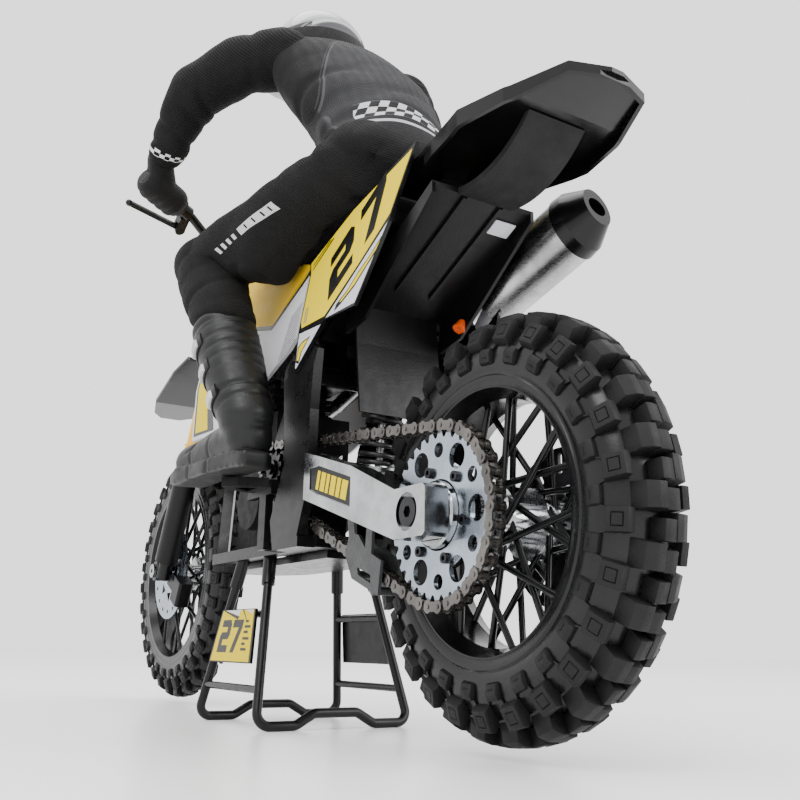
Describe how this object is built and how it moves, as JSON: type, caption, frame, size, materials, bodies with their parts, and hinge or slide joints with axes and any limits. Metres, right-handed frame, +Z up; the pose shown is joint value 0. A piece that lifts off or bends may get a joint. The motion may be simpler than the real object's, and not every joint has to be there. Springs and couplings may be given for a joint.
{
  "type": "rc motorcycle",
  "caption": "Quarter-scale electric motocross motorcycle with a rider figure, knobbed tyres, chain drive and working suspension, on a tubular display stand.",
  "frame": {"origin": "on the ground, under the middle of the bounding box, with the motorcycle on its stand", "axes": "+X forward, +Y to the rider's left, +Z up"},
  "size_m": [0.542, 0.2062, 0.4445],
  "materials": {
    "black_plastic": "satin black",
    "gloss_black": "glossy black",
    "tread_rubber": "matte black",
    "soft_rubber": "matte",
    "polished_aluminium": "polished",
    "dark_steel": "dark, oiled",
    "chain_steel": "bright steel, oiled",
    "plated_steel": "bright plated",
    "brushed_silver": "brushed",
    "satin_black_metal": "satin black",
    "yellow_plastic": "gloss yellow",
    "yellow_metal": "gloss yellow",
    "white_plastic": "gloss white",
    "grey_plastic": "rough grey",
    "jersey_fabric": "fine mesh knit",
    "pants_fabric": "ribbed knit",
    "boot_rubber": "matte dark grey",
    "glove_fabric": "matte black",
    "helmet_shell": "gloss white and grey"
  },
  "bodies": {
    "stand": {"stand_frame": "satin_black_metal", "stand_plates": "yellow_plastic"},
    "bike": {"main_frame": "satin_black_metal", "engine_case": "dark_steel", "footpegs": "black_plastic", "battery_pack": "gloss_black", "drive_motor": "dark_steel", "electronics_box": "black_plastic", "steering_servo": "black_plastic", "radiators": "grey_plastic", "seat": "soft_rubber", "tank": "yellow_plastic", "number_panels": "yellow_plastic", "shrouds_upper": "yellow_plastic", "shrouds_lower": "white_plastic", "rear_fender": "gloss_black", "inner_fender": "black_plastic", "tail_brace": "grey_plastic", "exhaust_can": "brushed_silver", "exhaust_cap": "gloss_black", "rider_pants": "pants_fabric", "rider_boots": "boot_rubber", "rider_torso": "jersey_fabric", "rider_helmet": "helmet_shell", "rider_arm_left": "jersey_fabric", "rider_arm_right": "jersey_fabric"},
    "steering": {"fork_clamps": "satin_black_metal", "fork_uppers": "yellow_metal", "handlebar": "satin_black_metal", "grips": "soft_rubber", "front_fender": "gloss_black", "front_plate": "white_plastic", "gloves": "glove_fabric"},
    "clutch_lever": {"clutch_lever": "satin_black_metal"},
    "brake_lever": {"brake_lever": "satin_black_metal"},
    "fork_lower": {"fork_legs": "satin_black_metal", "fork_guards": "black_plastic", "brake_caliper": "black_plastic", "front_axle": "polished_aluminium"},
    "front_wheel": {"front_tire": "tread_rubber", "front_rim": "gloss_black", "front_spokes": "gloss_black", "front_hub": "polished_aluminium", "front_disc": "plated_steel"},
    "swingarm": {"swingarm": "polished_aluminium", "rear_axle": "dark_steel", "chain_guide": "grey_plastic", "drive_chain": "chain_steel"},
    "rear_wheel": {"rear_tire": "tread_rubber", "rear_rim": "gloss_black", "rear_spokes": "gloss_black", "rear_hub": "polished_aluminium", "rear_sprocket": "plated_steel", "sprocket_bolts": "dark_steel", "rear_disc": "dark_steel"},
    "countershaft": {"countershaft": "dark_steel"},
    "flywheel": {"flywheel": "dark_steel"},
    "shock_body": {"shock_body": "black_plastic", "shock_spring": "dark_steel"},
    "shock_shaft": {"shock_shaft": "brushed_silver"}
  },
  "joints": [
    {"name": "lift_off", "type": "slide", "parent": "stand", "child": "bike", "axis": [0, 0, 1], "range_m": [0, 0.12]},
    {"name": "steer", "type": "hinge", "parent": "bike", "child": "steering", "pos_m": [0.1712, 0, 0.09], "axis": [-0.454, 0, 0.891], "range_deg": [-20, 20], "deforming": ["rider_arm_left", "rider_arm_right"]},
    {"name": "clutch_pull", "type": "hinge", "parent": "steering", "child": "clutch_lever", "pos_m": [0.0695, 0.064, 0.3], "axis": [0.4561, 0.167, 0.8741], "range_deg": [0, 4], "stiffness_Nm_per_rad": 0.05},
    {"name": "brake_pull", "type": "hinge", "parent": "steering", "child": "brake_lever", "pos_m": [0.0695, -0.064, 0.3], "axis": [-0.4561, 0.167, -0.8741], "range_deg": [0, 4], "stiffness_Nm_per_rad": 0.05},
    {"name": "fork_travel", "type": "slide", "parent": "steering", "child": "fork_lower", "axis": [-0.454, 0, 0.891], "range_m": [0, 0.04], "stiffness_N_per_m": 300},
    {"name": "front_spin", "type": "hinge", "parent": "fork_lower", "child": "front_wheel", "pos_m": [0.185, 0, 0.09], "axis": [0, 1, 0], "continuous": true},
    {"name": "swing", "type": "hinge", "parent": "bike", "child": "swingarm", "pos_m": [-0.0305, 0, 0.13], "axis": [0, 1, 0], "range_deg": [0, 18], "stiffness_Nm_per_rad": 12},
    {"name": "rear_spin", "type": "hinge", "parent": "swingarm", "child": "rear_wheel", "pos_m": [-0.186, 0, 0.089], "axis": [0, 1, 0], "continuous": true},
    {"name": "countershaft_spin", "type": "hinge", "parent": "bike", "child": "countershaft", "pos_m": [-0.0305, 0, 0.13], "axis": [0, 1, 0], "continuous": true},
    {"name": "flywheel_spin", "type": "hinge", "parent": "bike", "child": "flywheel", "pos_m": [0.0155, 0, 0.143], "axis": [0, 1, 0], "continuous": true},
    {"name": "shock_tilt", "type": "hinge", "parent": "bike", "child": "shock_body", "pos_m": [-0.0895, 0, 0.184], "axis": [0, 1, 0], "range_deg": [0, 2]},
    {"name": "shock_travel", "type": "slide", "parent": "shock_body", "child": "shock_shaft", "axis": [-0.1258, 0, 0.9921], "range_m": [0, 0.0175], "deforming": ["shock_spring"]}
  ],
  "couplings": [
    {"joint": "countershaft_spin", "follows": "rear_spin", "ratio": 2.8333},
    {"joint": "shock_tilt", "follows": "swing", "ratio": 0.0708},
    {"joint": "shock_travel", "follows": "swing", "m_per_rad": 0.05244}
  ]
}
